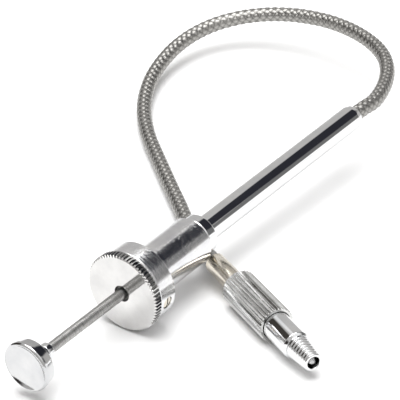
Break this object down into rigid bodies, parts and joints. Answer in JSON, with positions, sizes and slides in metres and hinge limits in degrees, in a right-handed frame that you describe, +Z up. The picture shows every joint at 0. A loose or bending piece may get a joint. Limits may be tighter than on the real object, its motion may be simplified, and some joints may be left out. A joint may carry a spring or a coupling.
{
  "type": "cable shutter release",
  "caption": "Locking cable shutter release: thumb plunger, knurled lock disc, guide tube, braided metal sheath and a swivelling screw-in tip with a push pin.",
  "frame": {"origin": "on the surface the release lies on, under the middle of the rigid handle (thumb button to guide tube)", "axes": "+Z up, +X along the handle from the thumb button to the guide tube, the screw-in tip lies towards -Y"},
  "size_m": [0.1287, 0.0859, 0.0143],
  "materials": {
    "polished_chrome": "bright polished chrome plate with fine turning marks",
    "knurled_nickel": "nickel plate, straight knurl, polished flat face",
    "scratched_steel": "bare steel with fine cross scratches",
    "spring_steel": "dark drawn spring wire",
    "sleeve_nickel": "thin nickel over brass, warm tint",
    "metal_braid": "woven tinned wire over a wound metal sheath"
  },
  "bodies": {
    "handle": {"barrel": "polished_chrome", "rod_bush": "sleeve_nickel", "barrel_collar": "polished_chrome", "guide_tube": "polished_chrome", "spring_stop_ring": "scratched_steel", "return_spring": "spring_steel", "cable_sheath": "metal_braid", "tip_sleeve": "sleeve_nickel", "swivel_flange": "sleeve_nickel", "swivel_washer": "scratched_steel"},
    "plunger": {"thumb_button": "polished_chrome", "button_boss": "polished_chrome", "rod_clamp_collar": "polished_chrome", "plunger_rod": "scratched_steel", "spring_seat": "scratched_steel", "drive_wire": "spring_steel"},
    "lock": {"lock_disc": "knurled_nickel", "lock_drum": "polished_chrome", "drum_screw": "polished_chrome", "lock_washer": "scratched_steel", "wave_washer": "spring_steel"},
    "screw_tip": {"knurled_grip": "knurled_nickel", "tip_barrel": "polished_chrome", "threaded_nozzle": "polished_chrome"},
    "pin": {"pin_head": "scratched_steel", "release_pin": "scratched_steel"}
  },
  "joints": [
    {"name": "plunger_slide", "type": "slide", "parent": "handle", "child": "plunger", "axis": [0.999, 0, 0.0436], "range_m": [0, 0.013], "stiffness_N_per_m": 100, "springref_m": -0.01, "deforming": ["return_spring"]},
    {"name": "lock_turn", "type": "hinge", "parent": "handle", "child": "lock", "pos_m": [-0.0222, 0, 0.00713], "axis": [0.999, 0, 0.0436], "range_deg": [0, 60]},
    {"name": "tip_swivel", "type": "hinge", "parent": "handle", "child": "screw_tip", "pos_m": [-0.00376, -0.01062, 0.00319], "axis": [-0.4485, -0.8938, 0], "continuous": true},
    {"name": "pin_slide", "type": "slide", "parent": "handle", "child": "pin", "axis": [-0.4485, -0.8938, 0], "range_m": [0, 0.013]}
  ],
  "couplings": [
    {"joint": "pin_slide", "follows": "plunger_slide", "ratio": 1}
  ]
}
